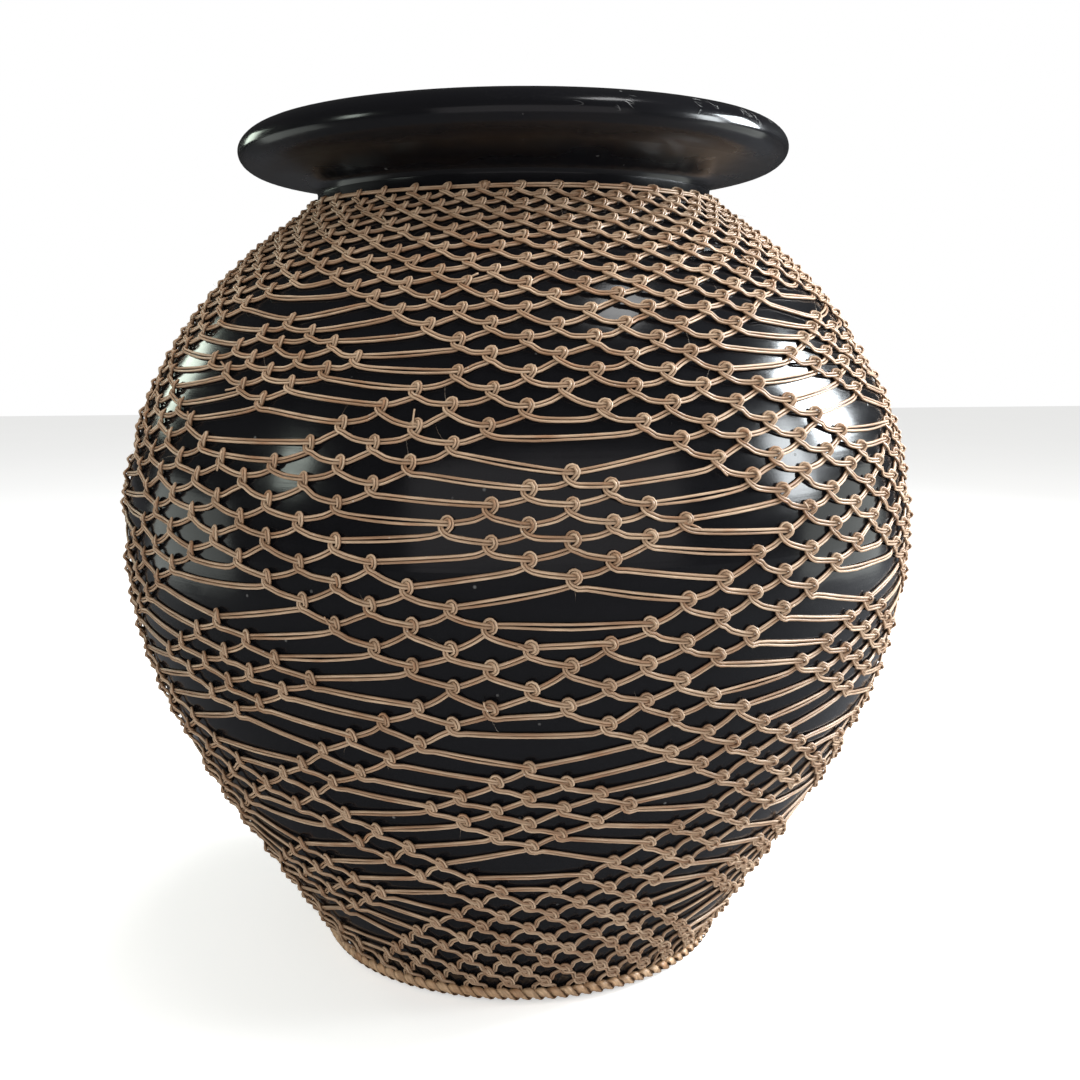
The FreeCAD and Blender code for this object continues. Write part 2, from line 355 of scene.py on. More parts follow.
@dataclass
class NetPlan:
    """Where the knots are: a diagonal net with diamond windows that step round the pot in turn."""

    skin: ClaySkin
    courses: int = 54
    repeats: int = 4
    per_repeat: int = 10
    phase: float = 1.5
    squeeze: float = 0.15
    growth: float = 0.0047
    uneven_turn: float = 0.25
    uneven_drop: float = 0.7 * MM
    windows: tuple[tuple[int, int], ...] = ((10, -4), (19, 0), (27, -5), (34, 0), (41, -5))
    window_rows: int = 11
    diamond: int = 4
    margin: float = 0.1
    hoop_z: float = 443.0 * MM
    last_s: float = 7.15 * MM

    @property
    def total(self) -> int:
        """How many knots a full course has."""
        return self.repeats * self.per_repeat

    def level(self, k: int) -> float:
        """Distance up the skin of a course: the courses get steadily deeper towards the foot.

        Args:
            k: number of the course, from 0 at the neck.

        Returns:
            The distance in metres.
        """
        top = self.skin.distance_at(self.hoop_z)
        depth = (k + self.growth * k * k) / (self.courses + self.growth * self.courses**2)
        return top - (top - self.last_s) * depth

    def windows_at(self, k: int, place: np.ndarray) -> tuple[np.ndarray, np.ndarray]:
        """Which places of a course are open, and how far the knots of the inner diamonds move up.

        Args:
            k: number of the course.
            place: places round the pot, in knots.

        Returns:
            A mask of open places, and the moves in courses.
        """
        is_open, moves = np.zeros(place.shape, bool), np.zeros(place.shape)
        middle, half = (self.window_rows - 1) / 2, self.per_repeat / 2
        for first, column in self.windows:
            row = k - first
            if 0 <= row < self.window_rows:
                off = np.abs((place - column - 0.5 * (first % 2) + half) % self.per_repeat - half)
                inside = off < 1 + 0.5 * min(row, self.window_rows - 1 - row) - self.margin
                knots = self.diamond - abs(row - middle)
                kept = inside & (knots >= 1) & (off <= (knots - 1) / 2 + self.margin)
                is_open |= inside & ~kept
                moves[kept] = self.squeeze * (row - middle)
        return is_open, moves

    def knots(self, k: int) -> np.ndarray:
        """Knots of a course.

        Args:
            k: number of the course.

        Returns:
            One row a knot: its place in knots, its angle in degrees and its distance up the skin.
        """
        i = np.arange(self.total)
        place = i + 0.5 * (k % 2)
        is_open, moves = self.windows_at(k, place)
        turn = self.phase + 360.0 / self.total * place + self.uneven_turn * np.sin(1.7 * k * k + 2.9 * i)
        s = self.level(k) + moves * (self.level(k) - self.level(k + 1))
        if 0 < k < self.courses:
            s = s + self.uneven_drop * np.sin(2.3 * k + 1.3 * i * i)
        return np.stack([place, turn, s], -1)[~is_open]


# ---------------------------------------------------------------- finishes


class Wiring:
    """Places and joins the nodes of one node tree."""

    def __init__(self, tree: bpy.types.NodeTree) -> None:
        """Keeps the tree."""
        self.tree = tree

    def add(self, kind: str, inputs: Optional[dict] = None, **settings: object) -> bpy.types.Node:
        """Adds a node, sets it up and joins its inputs.

        Args:
            kind: Blender's name for the node without the leading ShaderNode.
            inputs: value or incoming socket for each input, by name or number.
            settings: the node's own settings.

        Returns:
            The new node.
        """
        node = self.tree.nodes.new("ShaderNode" + kind)
        for name, value in settings.items():
            setattr(node, name, value)
        for name, value in (inputs or {}).items():
            if isinstance(value, Socket):
                self.tree.links.new(value, node.inputs[name])
            else:
                node.inputs[name].default_value = value
        return node

    def math(self, operation: str, a: Union[float, Socket], b: Union[float, Socket] = 0.0) -> Socket:
        """One sum on one or two values."""
        return self.add("Math", {0: a, 1: b}, operation=operation).outputs[0]

    def blend(self, share: Union[float, Socket], a: Union[Colour, Socket],
              b: Union[Colour, Socket]) -> Socket:
        """Mixes two colours."""
        return self.add("Mix", {0: share, 6: a, 7: b}, data_type="RGBA", blend_type="MIX").outputs[2]

    def noise(self, vector: Socket, scale: float, detail: float = 3.0, rough: float = 0.5) -> Socket:
        """Cloudy values from about 0.3 to 0.7."""
        inputs = {"Vector": vector, "Scale": scale, "Detail": detail, "Roughness": rough}
        return self.add("TexNoise", inputs).outputs[0]

    def stretch(self, vector: Socket, scale: tuple[float, float, float],
                turn: tuple[float, float, float] = (0.0, 0.0, 0.0)) -> Socket:
        """Coordinates stretched along their axes and turned."""
        return self.add("Mapping", {"Vector": vector, "Scale": scale, "Rotation": turn}).outputs[0]

    def spread(self, value: Socket, low: float, high: float, to_low: float = 0.0,
               to_high: float = 1.0) -> Socket:
        """Moves values from one range to another and holds them there."""
        return self.add("MapRange", {0: value, 1: low, 2: high, 3: to_low, 4: to_high}).outputs[0]

    def finish(self, shader: bpy.types.Node) -> None:
        """Joins a shader to the tree's output."""
        self.tree.links.new(shader.outputs[0], self.add("OutputMaterial").inputs[0])


def new_material(name: str) -> tuple[bpy.types.Material, Wiring]:
    """Starts a material with an empty node tree.

    Args:
        name: name of the material.

    Returns:
        The material and its wiring.
    """
    material = bpy.data.materials.new(name)
    material.use_nodes = True
    material.node_tree.nodes.clear()
    return material, Wiring(material.node_tree)


def new_group(name: str, inputs: dict[str, str],
              outputs: dict[str, str]) -> tuple[Wiring, bpy.types.Node, bpy.types.Node]:
    """Starts a shader node group with named sockets.

    Args:
        name: name of the group.
        inputs: type of each input socket by name.
        outputs: type of each output socket by name.

    Returns:
        The wiring of the group, its input node and its output node.
    """
    tree = bpy.data.node_groups.new(name, "ShaderNodeTree")
    for label, kind in inputs.items():
        tree.interface.new_socket(label, in_out="INPUT", socket_type="NodeSocket" + kind)
    for label, kind in outputs.items():
        tree.interface.new_socket(label, in_out="OUTPUT", socket_type="NodeSocket" + kind)
    return Wiring(tree), tree.nodes.new("NodeGroupInput"), tree.nodes.new("NodeGroupOutput")


def speck_group() -> bpy.types.NodeTree:
    """Scattered specks of dust: small spots round the random points of a cell pattern, only where the cell's
    own random value is under the share.

    Returns:
        The group, with the mask as its output.
    """
    w, given, out = new_group("specks", {"Coordinates": "Vector", "Scale": "Float", "Share": "Float"},
                              {"Mask": "Float"})
    cells = w.add("TexVoronoi", {"Vector": given.outputs["Coordinates"], "Scale": given.outputs["Scale"]})
    near = w.spread(cells.outputs["Distance"], 0.05, 0.22, 1.0, 0.0)
    pick = w.add("SeparateColor", {0: cells.outputs["Color"]}).outputs[0]
    chosen = w.math("LESS_THAN", pick, given.outputs["Share"])
    w.tree.links.new(w.math("MULTIPLY", near, chosen), out.inputs["Mask"])
    return w.tree


def scratch_group() -> bpy.types.NodeTree:
    """Fine scratches: thin lines where a stretched cloud pattern crosses its middle value, broken up by a
    second cloud.

    Returns:
        The group, with the mask as its output.
    """
    w, given, out = new_group("scratches", {"Coordinates": "Vector", "Amount": "Float"}, {"Mask": "Float"})
    lines = []
    for turn in ((0.3, 0.2, 0.5), (1.1, 0.7, 2.1)):
        along = w.stretch(given.outputs["Coordinates"], (4.0, 190.0, 150.0), turn)
        ridge = w.math("ABSOLUTE", w.math("SUBTRACT", w.noise(along, 1.0, 1.0), 0.5))
        lines.append(w.spread(ridge, 0.0, 0.008, 1.0, 0.0))
    both = w.math("MAXIMUM", *lines)
    broken = w.spread(w.noise(given.outputs["Coordinates"], 60.0, 2.0), 0.58, 0.64)
    mask = w.math("MULTIPLY", w.math("MULTIPLY", both, broken), given.outputs["Amount"])
    w.tree.links.new(mask, out.inputs["Mask"])
    return w.tree


def grain_and_shade_group() -> bpy.types.NodeTree:
    """Split-cane grain with painted shade: clouds drawn out along the cane give fine fibres, wider clouds and
    the cane's own shade give paler and browner stretches, long bands are redder, and painted shade darkens
    each cane from its outer face round to the side turned to the clay. It stands in for the shade in the
    crevices beside the other cane and the clay.

    Returns:
        The group, with colour, height and roughness as its outputs.
    """
    w, given, out = new_group(
        "cane_grain_and_painted_shade",
        {"Shade": "Float", "Pale": "Color", "Tan": "Color", "Red": "Color", "Dark": "Color"},
        {"Color": "Color", "Height": "Float", "Roughness": "Float"})
    grain = w.add("UVMap", uv_map="grain").outputs[0]
    place = w.add("TexCoord").outputs["Object"]
    around = w.add("SeparateXYZ", {0: grain}).outputs[1]
    # painted shade: the section darkens from its outer face round to the side turned to the clay, where the
    # crevices beside the clay and the other cane would lie in shade
    turned = w.math("ABSOLUTE", w.math("SUBTRACT", around, 0.25))
    painted_crevice_shade = w.spread(w.math("MINIMUM", turned, w.math("SUBTRACT", 1.0, turned)), 0.11, 0.32)
    fibre = w.noise(w.stretch(grain, (90.0, 9.0, 1.0)), 1.0, 4.0, 0.6)
    patch = w.noise(place, 34.0, 3.0, 0.55)
    bands = w.noise(w.stretch(grain, (55.0, 0.6, 1.0)), 1.0, 2.0)
    tone = w.math("ADD", w.math("MULTIPLY", given.outputs["Shade"], 0.55), w.math("MULTIPLY", patch, 0.55))
    colour = w.blend(w.spread(tone, 0.30, 0.72), given.outputs["Tan"], given.outputs["Pale"])
    colour = w.blend(w.spread(bands, 0.52, 0.72, 0.0, 0.75), colour, given.outputs["Red"])
    colour = w.blend(w.spread(fibre, 0.40, 0.62, 0.55, 0.0), colour, given.outputs["Dark"])
    # painted crevice shade, mixed towards the dark colour
    colour = w.blend(w.math("MULTIPLY", painted_crevice_shade, 0.80), colour, given.outputs["Dark"])
    w.tree.links.new(colour, out.inputs["Color"])
    w.tree.links.new(fibre, out.inputs["Height"])
    w.tree.links.new(w.spread(fibre, 0.3, 0.7, 0.56, 0.38), out.inputs["Roughness"])
    return w.tree


@dataclass(frozen=True)
class CaneFinish:
    """Natural split cane, unvarnished, with a dry sheen."""

    name: str
    pale: Colour = (0.59, 0.43, 0.29, 1.0)
    tan: Colour = (0.34, 0.21, 0.125, 1.0)
    red: Colour = (0.36, 0.175, 0.085, 1.0)
    # colour of the fibre lines and also of the painted crevice shade on the canes' sides turned to the clay
    dark: Colour = (0.17, 0.085, 0.04, 1.0)
    dusty: Colour = (0.75, 0.72, 0.66, 1.0)
    relief: float = 0.05 * MM
    specks_per_metre: float = 420.0
    speck_share: float = 0.05

    def build(self, grain: bpy.types.NodeTree, specks: bpy.types.NodeTree) -> bpy.types.Material:
        """Makes the material.

        Args:
            grain: the group of cane grain and painted crevice shade.
            specks: the dust group.

        Returns:
            The material.
        """
        material, w = new_material(self.name)
        shade = w.add("Attribute", attribute_name="shade").outputs["Fac"]
        look = w.add("Group", node_tree=grain)
        for label, value in (("Pale", self.pale), ("Tan", self.tan), ("Red", self.red), ("Dark", self.dark)):
            look.inputs[label].default_value = value
        w.tree.links.new(shade, look.inputs["Shade"])
        place = w.add("TexCoord").outputs["Object"]
        spots = {"Coordinates": place, "Scale": self.specks_per_metre, "Share": self.speck_share}
        dust = w.add("Group", spots, node_tree=specks).outputs[0]
        colour = w.blend(w.math("MULTIPLY", dust, 0.5), look.outputs["Color"], self.dusty)
        bump = w.add("Bump", {"Strength": 0.6, "Distance": self.relief, "Height": look.outputs["Height"]})
        shader = w.add("BsdfPrincipled", {"Base Color": colour, "Roughness": look.outputs["Roughness"],
                                          "Normal": bump.outputs[0], "IOR": 1.5})
        w.finish(shader)
        return material


@dataclass(frozen=True)
class LacquerFinish:
    """Black lacquer over turned clay: wheel marks, slow waves from the brush, dust, fine scratches on a part
    of the rim, and a duller, warmer coat where it is thin under the lip."""

    name: str
    black: Colour = (0.0055, 0.0055, 0.0065, 1.0)
    warm: Colour = (0.014, 0.008, 0.005, 1.0)
    bare: Colour = (0.78, 0.78, 0.76, 1.0)
    lip_z: float = 462.0 * MM
    lip_half: float = 12.0 * MM
    rim_z: float = 474.0 * MM
    rim_fade: float = 6.0 * MM
    scratched_across: tuple[float, float] = (20.0 * MM, 80.0 * MM)
    scratched_depth: tuple[float, float] = (-90.0 * MM, -50.0 * MM)
    scratch_strength: float = 0.85
    wave_height: float = 0.8 * MM
    specks_per_metre: float = 210.0
    speck_share: float = 0.02

    def build(self, specks: bpy.types.NodeTree, scratches: bpy.types.NodeTree) -> bpy.types.Material:
        """Makes the material.

        Args:
            specks: the dust group.
            scratches: the scratch group.

        Returns:
            The material.
        """
        material, w = new_material(self.name)
        place = w.add("TexCoord").outputs["Object"]
        across, depth, height = w.add("SeparateXYZ", {0: place}).outputs
        # wheel marks are rings, so their pattern changes quickly with height and slowly across
        wheel = w.noise(w.stretch(place, (3.0, 3.0, 330.0)), 1.0, 4.0, 0.6)
        wave = w.noise(w.stretch(place, (9.0, 9.0, 14.0)), 1.0, 2.0)
        fine = w.noise(place, 900.0, 2.0)
        relief = w.math("ADD", w.math("MULTIPLY", wheel, 0.10), w.math("MULTIPLY", wave, 3.0))
        relief = w.math("ADD", relief, w.math("MULTIPLY", fine, 0.03))
        bump = w.add("Bump", {"Strength": 0.5, "Distance": self.wave_height, "Height": relief})
        smear = w.noise(w.stretch(place, (16.0, 16.0, 60.0)), 1.0, 4.0, 0.6)
        under_lip = w.math("MULTIPLY", w.spread(height, self.lip_z - self.lip_half, self.lip_z),
                           w.spread(height, self.lip_z, self.lip_z + self.lip_half, 1.0, 0.0))
        warmth = w.math("MULTIPLY", under_lip, w.spread(smear, 0.48, 0.66, 0.0, 0.6))
        colour = w.blend(warmth, self.black, self.warm)
        spots = {"Coordinates": place, "Scale": self.specks_per_metre, "Share": self.speck_share}
        dust = w.add("Group", spots, node_tree=specks).outputs[0]
        colour = w.blend(w.math("MULTIPLY", dust, 0.16), colour, self.bare)
        rim = w.math("MULTIPLY", w.spread(height, self.rim_z, self.rim_z + self.rim_fade),
                     w.spread(across, *self.scratched_across))
        rim = w.math("MULTIPLY", rim, w.spread(depth, *self.scratched_depth, self.scratch_strength, 0.0))
        worn = w.add("Group", {"Coordinates": place, "Amount": rim}, node_tree=scratches).outputs[0]
        colour = w.blend(worn, colour, self.bare)
        gloss = w.math("ADD", w.spread(smear, 0.3, 0.7, 0.10, 0.22), w.math("MULTIPLY", under_lip, 0.16))
        rough = w.math("ADD", gloss, w.math("MULTIPLY", w.math("MAXIMUM", dust, worn), 0.4))
        shader = w.add("BsdfPrincipled", {"Base Color": colour, "Roughness": rough, "Normal": bump.outputs[0],
                                          "IOR": 1.52, "Specular IOR Level": 0.3})
        w.finish(shader)
        return material


# ---------------------------------------------------------------- cane work


def uneven(*numbers: Union[float, np.ndarray]) -> Union[float, np.ndarray]:
    """A repeatable uneven value from -1 to 1 for some numbers: the odd part of a fast sine of their mix."""
    mix = sum(n * f for n, f in zip(numbers, (12.9898, 78.233, 37.719, 4.581)))
    return 2.0 * ((np.sin(mix) * 43758.5453) % 1.0) - 1.0


@dataclass
class CanePair:
    """Two split canes side by side along one line."""

    skin: ClaySkin
    radius: float = 0.70 * MM
    corners: int = 5
    clearance: float = 0.06 * MM

    def surfaces(self, line: np.ndarray, seed: float) -> list[Surface]:
        """Both canes of a pair that runs all the way round.

        The pair's line lies over the clay at (angle, distance, height). Each cane is moved from it by half
        the gap, along the side vector turned by the roll, one cane each way.

        Args:
            line: stations as angle in degrees, distance, height, half gap and roll in radians.
            seed: number that the canes' own shades are drawn from.

        Returns:
            The two canes.
        """
        turn, s, lift, spread, roll = line.T
        lift = np.maximum(lift, self.radius + self.clearance + spread * np.abs(np.sin(roll)))
        centres = self.skin.place(turn, s, lift)
        side, up = frames_round(centres, self.skin.normal(turn, s))
        canes = []
        for cane, way in ((0, 1.0), (1, -1.0)):
            away = way * spread[:, None] * (np.cos(roll)[:, None] * side + np.sin(roll)[:, None] * up)
            thick = self.radius * (1 + 0.05 * np.sin(0.21 * turn + 1.7 * seed + 2.6 * cane))
            slow, quick = 0.11 * turn + 2.3 * seed + 3.1 * cane, 0.37 * turn + 5.1 * seed
            shade = 0.5 + 0.30 * np.sin(slow) + 0.2 * np.sin(quick)
            canes.append(sweep(centres + away, side, up, round_section(thick, self.corners), shade, True,
                               start=0.37 * seed + 0.19 * cane))
        return canes


@dataclass
class NetCourse:
    """One course of the net: a pair of canes that ties a half hitch round the course above at each of its own
    knots, and hangs down between them to carry the knots of the course below."""

    plan: NetPlan
    pair: CanePair
    # the hitch as (across, up, height above the clay, half gap, roll), in mm and radians from where it is
    # tied: it comes in from the lower left next to the clay, climbs over the carrier on the right, arches to
    # the left, dives behind it, and leaves over its own way in. The carrier is the course above, as it passes
    # through the hitch.
    hitch: tuple[tuple[float, ...], ...] = (
        (-1.8, -4.2, 0.80, 0.74, 0.0),
        (0.8, -3.0, 1.40, 0.68, 0.1),
        (2.05, -1.4, 3.10, 0.68, 0.3),
        (2.25, 0.3, 3.70, 0.68, 0.4),
        (1.6, 1.9, 2.90, 0.68, 0.4),
        (0.25, 2.55, 1.80, 0.68, 0.2),
        (-1.25, 2.0, 1.05, 0.68, 0.0),
        (-2.25, 0.5, 0.80, 0.68, 0.0),
        (-2.6, -1.1, 1.00, 0.68, 0.0),
        (-2.2, -2.8, 1.85, 0.68, -0.2),
        (-0.8, -4.2, 2.40, 0.70, -0.1),
        (1.5, -5.2, 2.20, 0.74, 0.0),
    )
    carrier: tuple[tuple[float, ...], ...] = (
        (-3.3, 0.12, 1.50, 0.74, 0.0),
        (0.0, 0.0, 2.20, 0.70, 0.0),
        (3.3, 0.18, 1.50, 0.74, 0.0),
    )
    hitch_cuts: tuple[int, ...] = (1, 1, 2, 1, 1, 2, 1, 1, 2, 1, 1)
    # where a span bends after the hitch it leaves and before the one it comes to: across and least depth in
    # mm, and the share of any further depth that it has there
    leaving: tuple[float, float, float] = (5.8, 5.7, 0.45)
    coming: tuple[float, float, float] = (-7.2, 5.7, 0.30)
    nearest_bend: float = 2.8 * MM
    knot_room: float = 4.2 * MM
    bend_lift: float = 0.95 * MM
    span_lift: float = 0.76 * MM
    half_gap: float = 0.78 * MM
    sag: float = 6.4 * MM
    taut_from: float = 20.0 * MM
    taut_to: float = 34.0 * MM
    # a gap longer than this gets a middle row, which hangs lower and whose canes drift apart
    long_span: float = 20.0 * MM
    span_drop: float = 0.25 * MM
    loose_drop: float = 0.5 * MM
    loose_gap: float = 0.55 * MM
    loosest_span: float = 60.0 * MM
    span_cut: float = 16.0 * MM
    short_gap: float = 2.5 * MM
    middling_gap: float = 5.0 * MM

    def hitches(self, k: int, knots: np.ndarray) -> np.ndarray:
        """Control rows of all half hitches of a course, each a little larger or smaller and tilted.

        Args:
            k: number of the course.
            knots: the course's knots.

        Returns:
            Knots x rows x 5.
        """
        shape = np.array(self.hitch)
        seed = knots[:, 0] + 61.0 * k
        size = (1.0 + 0.10 * uneven(seed, 1.0))[:, None]
        tilt = (0.16 * uneven(seed, 2.0))[:, None]
        across = (shape[:, 0] * np.cos(tilt) - shape[:, 1] * np.sin(tilt)) * size
        up = (shape[:, 0] * np.sin(tilt) + shape[:, 1] * np.cos(tilt)) * size
        rows = np.zeros((len(knots),) + shape.shape)
        radius = self.plan.skin.radius_at(knots[:, 2])[:, None]
        rows[..., 0] = knots[:, 1:2] + np.degrees(across * MM / radius)
        rows[..., 1] = knots[:, 2:3] + up * MM
        rows[..., 2:4] = shape[:, 2:4] * MM
        rows[..., 4] = shape[:, 4]
        return rows

    def carried(self, knot: np.ndarray) -> np.ndarray:
        """Control rows where this course passes through a knot of the course below.

        Args:
            knot: that knot, already on this turn round the pot.

        Returns:
            Rows x 5.
        """
        shape = np.array(self.carrier)
        rows = shape * MM
        rows[:, 0] = knot[1] + np.degrees(shape[:, 0] * MM / self.plan.skin.radius_at(knot[2]))
        rows[:, 1] = knot[2] + shape[:, 1] * MM
        rows[:, 4] = shape[:, 4]
        return rows

    def rows(self, k: int) -> tuple[np.ndarray, np.ndarray]:
        """Control rows of a course once round the pot, and how finely each stretch is cut.

        Args:
            k: number of the course.

        Returns:
            Rows x 5, and one number of stations for each stretch.
        """
        mine, below = self.plan.knots(k), self.plan.knots(k + 1)
        wrap = np.array([self.plan.total, 360.0, 0.0])
        hanging = np.concatenate([below, below + wrap])
        hitches = self.hitches(k, mine)
        following = np.concatenate([mine[1:], mine[:1] + wrap])
        turn = np.array([360.0, 0, 0, 0, 0])
        entries = np.concatenate([hitches[1:, 0], hitches[:1, 0] + turn])
        rows, cuts = [], []
        for n, (knot, after) in enumerate(zip(mine, following)):
            rows.append(hitches[n])
            cuts += self.hitch_cuts
            carried = hanging[(hanging[:, 0] > knot[0]) & (hanging[:, 0] < after[0])]
            span = [self.carried(c) for c in carried]
            sag = self.sag * (1.0 + 0.12 * uneven(knot[0], k, 3.0))
            if not span:
                mid = (knot[1:] + after[1:]) / 2
                span = [np.array([[mid[0], mid[1] - sag, self.span_lift, self.half_gap, 0.0]])]
                leave = self.bend(knot, self.leaving, sag, mid[0] - knot[1])
                come = self.bend(after, self.coming, sag, after[1] - mid[0])
            else:
                leave = self.bend(knot, self.leaving, knot[2] - carried[0][2], carried[0][1] - knot[1])
                come = self.bend(after, self.coming, after[2] - carried[-1][2], after[1] - carried[-1][1])
            whole = np.concatenate([hitches[n][-1:], leave] + span + [come, entries[n:n + 1]])
            stretch, parts = self.loosened(whole, k + 0.01 * n)
            rows.append(stretch[1:-1])
            cuts += parts
        rows = np.concatenate(rows)
        return np.concatenate([rows[-1:] - turn, rows, rows[:2] + turn]), np.array(cuts)

    def bend(self, knot: np.ndarray, where: tuple[float, float, float], depth: float,
             reach: float) -> np.ndarray:
        """Control row where a span turns level beside a hitch: deeper where the span hangs deeper, but not
        where it is drawn taut to a knot far away, and closer where the nearest knot that it carries is close.

        Args:
            knot: the knot beside it.
            where: across and least depth in mm, and the share of any further depth.
            depth: how deep the span hangs below this knot.
            reach: angle in degrees to the nearest knot that the span carries, or else to its middle.

        Returns:
            One row of 5.
        """
        across, least, share = where
        radius = self.plan.skin.radius_at(knot[2])
        run = np.radians(reach) * radius
        slack = np.clip((self.taut_to - run) / (self.taut_to - self.taut_from), 0.0, 1.0)
        down = least * MM + slack * share * max(0.0, depth - least * MM)
        away = min(abs(across) * MM, max(self.nearest_bend, run - self.knot_room))
        turn = knot[1] + np.degrees(math.copysign(away, across) / radius)
        return np.array([[turn, knot[2] - down, self.bend_lift, self.half_gap, 0.0]])

    def loosened(self, stretch: np.ndarray, seed: float) -> tuple[np.ndarray, list[int]]:
        """Puts a middle row into each long gap, where the two canes drift apart and hug the clay.

        Args:
            stretch: control rows from one hitch to the next.
            seed: number that the looseness is drawn from.

        Returns:
            The rows with the new ones between them, and how finely each gap is cut.
        """
        across = np.radians(np.diff(stretch[:, 0])) * self.plan.skin.radius_at(stretch[:-1, 1])
        lengths = np.hypot(across, np.diff(stretch[:, 1]))
        rows, cuts = [stretch[:1]], []
        for n, length in enumerate(lengths):
            if length > self.long_span:
                middle = (stretch[n] + stretch[n + 1]) / 2
                loose = max(0.0, 0.3 + 0.7 * uneven(seed, n, 5.0)) * min(1.0, length / self.loosest_span)
                middle[1] -= self.span_drop + self.loose_drop * loose
                middle[2] = self.span_lift
                middle[3] = self.half_gap + self.loose_gap * loose
                middle[4] = 0.25 * uneven(seed, n, 6.0)
                rows.append(middle[None])
                cuts += [max(2, round(length / self.span_cut))] * 2
            else:
                cuts.append(1 + int(length >= self.short_gap) + int(length >= self.middling_gap))
            rows.append(stretch[n + 1:n + 2])
        return np.concatenate(rows), cuts

    def build(self, k: int, material: bpy.types.Material) -> bpy.types.Object:
        """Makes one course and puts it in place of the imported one.

        Args:
            k: number of the course, from 0 at the neck.
            material: the cane finish.

        Returns:
            The course.
        """
        rows, cuts = self.rows(k)
        canes = join(self.pair.surfaces(flowing_line(rows, cuts), k))
        piece = make_piece("cane_course_%02d" % (k + 1), canes, material)
        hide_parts("net_course_%02d" % (k + 1))
        return piece


@dataclass
class NeckHoop:
    """The hoop that the net hangs from: a pair of canes round the neck, with a third cane wound round them at
    one place."""

    plan: NetPlan
    pair: CanePair
    lift: float = 2.0 * MM
    half_gap: float = 0.76 * MM
    wander: float = 0.3 * MM
    step: float = 2.0
    tie_turn: float = -7.0
    tie_turns: float = 3.5
    tie_width: float = 5.0 * MM
    tie_reach: float = 1.9 * MM
    tie_stations: int = 40

    def build(self, material: bpy.types.Material) -> bpy.types.Object:
        """Makes the hoop and its tie.

        The tie is a single cane in a helix round the pair: it circles the pair's line as it moves along it.

        Args:
            material: the cane finish.

        Returns:
            The hoop.
        """
        skin, s = self.plan.skin, self.plan.level(0)
        turn = np.arange(0.0, 360.0, self.step)
        line = np.stack([turn, s + self.wander * np.sin(np.radians(5 * turn)), np.full(turn.shape, self.lift),
                         np.full(turn.shape, self.half_gap), 0.3 * np.sin(np.radians(3 * turn))], -1)
        surfaces = self.pair.surfaces(line, 0.7)
        t = np.linspace(0.0, 1.0, self.tie_stations)
        around = 2 * np.pi * self.tie_turns * t
        width = np.degrees(self.tie_width / skin.radius_at(s))
        points = skin.place(self.tie_turn + width * (t - 0.5), s + self.tie_reach * np.sin(around),
                            self.lift - 0.75 * self.tie_reach * np.cos(around))
        surfaces.append(free_cane(points, skin.normal(np.full(t.shape, self.tie_turn), np.full(t.shape, s)),
                                  self.pair.radius, 5, 0.4))
        piece = make_piece("neck_binding", join(surfaces), material)
        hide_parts("neck_hoop")
        return piece


def free_cane(points: np.ndarray, normal: np.ndarray, radius: Union[float, np.ndarray], corners: int,
              shade: float) -> Surface:
    """One round cane with closed ends along any path.

    Args:
        points: the path.
        normal: a vector at each station that the cane isn't along.
        radius: its radius, or one for each station.
        corners: corners of its section.
        shade: its shade.

    Returns:
        The cane.
    """
    side, up = frames(np.gradient(points, axis=0), normal)
    section = round_section(np.broadcast_to(radius, (len(points),)), corners)
    return sweep(points, side, up, section, np.full(len(points), shade), False, start=shade)


@dataclass
class FootPlait:
    """Border round the foot: two flat splints wound round each other, with the net's last loops inside."""

    skin: ClaySkin
    winds: int = 54
    splints: int = 2
    low: float = 6.0 * MM
    lift: float = 2.9 * MM
    half_height: float = 4.1 * MM
    half_depth: float = 2.0 * MM
    splint_width: float = 5.6 * MM
    splint_thickness: float = 0.55 * MM
    splint_curl: float = 0.8 * MM
    stations: int = 12

    def section(self, width: np.ndarray) -> np.ndarray:
        """Outline of a splint: a lens with a crowned outer face, whose edges curl inwards.

        Args:
            width: the splint's width at each station.

        Returns:
            Stations x 8 x 2.
        """
        across = np.array([0.5, 0.34, 0.0, -0.34, -0.5, -0.34, 0.0, 0.34])
        height = np.array([0.0, 0.42, 0.62, 0.42, 0.0, -0.3, -0.38, -0.3]) * self.splint_thickness
        height -= self.splint_curl * (2 * across) ** 2
        return np.stack([across * width[:, None], np.broadcast_to(height, (len(width), 8))], -1)

    def splint(self, number: int) -> Surface:
        """One splint all the way round.

        Its line circles an oval round the foot: its height goes with the sine and its distance from the clay
        with the cosine of a fast angle, and on the outside it runs downwards to the right.

        Args:
            number: which of the splints.

        Returns:
            The splint.
        """
        count = self.winds * self.stations
        turn = np.arange(count) * 360.0 / count
        wind = np.radians(turn) * self.winds + 2 * np.pi * number / self.splints
        wobble = 0.06 * np.sin(np.radians(7 * turn) + number)
        centres = self.skin.place(turn, self.low + (self.half_height * (1 + wobble)) * -np.sin(wind),
                                  self.lift + self.half_depth * np.cos(wind))
        core = self.skin.place(turn, np.full(count, self.low), np.full(count, self.lift))
        side, up = frames_round(centres, centres - core)
        width = self.splint_width * (0.86 + 0.14 * np.cos(wind))
        shade = 0.55 + 0.3 * np.sin(np.radians(11 * turn) + 2 * number) + 0.15 * np.sin(np.radians(31 * turn))
        return sweep(centres, side, up, self.section(width), shade, True)

    def build(self, material: bpy.types.Material) -> bpy.types.Object:
        """Makes the border.

        Args:
            material: the splint finish.

        Returns:
            The border.
        """
        surface = join([self.splint(n) for n in range(self.splints)])
        piece = make_piece("foot_plait", surface, material)
        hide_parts("foot_border", "foot_hoop")
        return piece


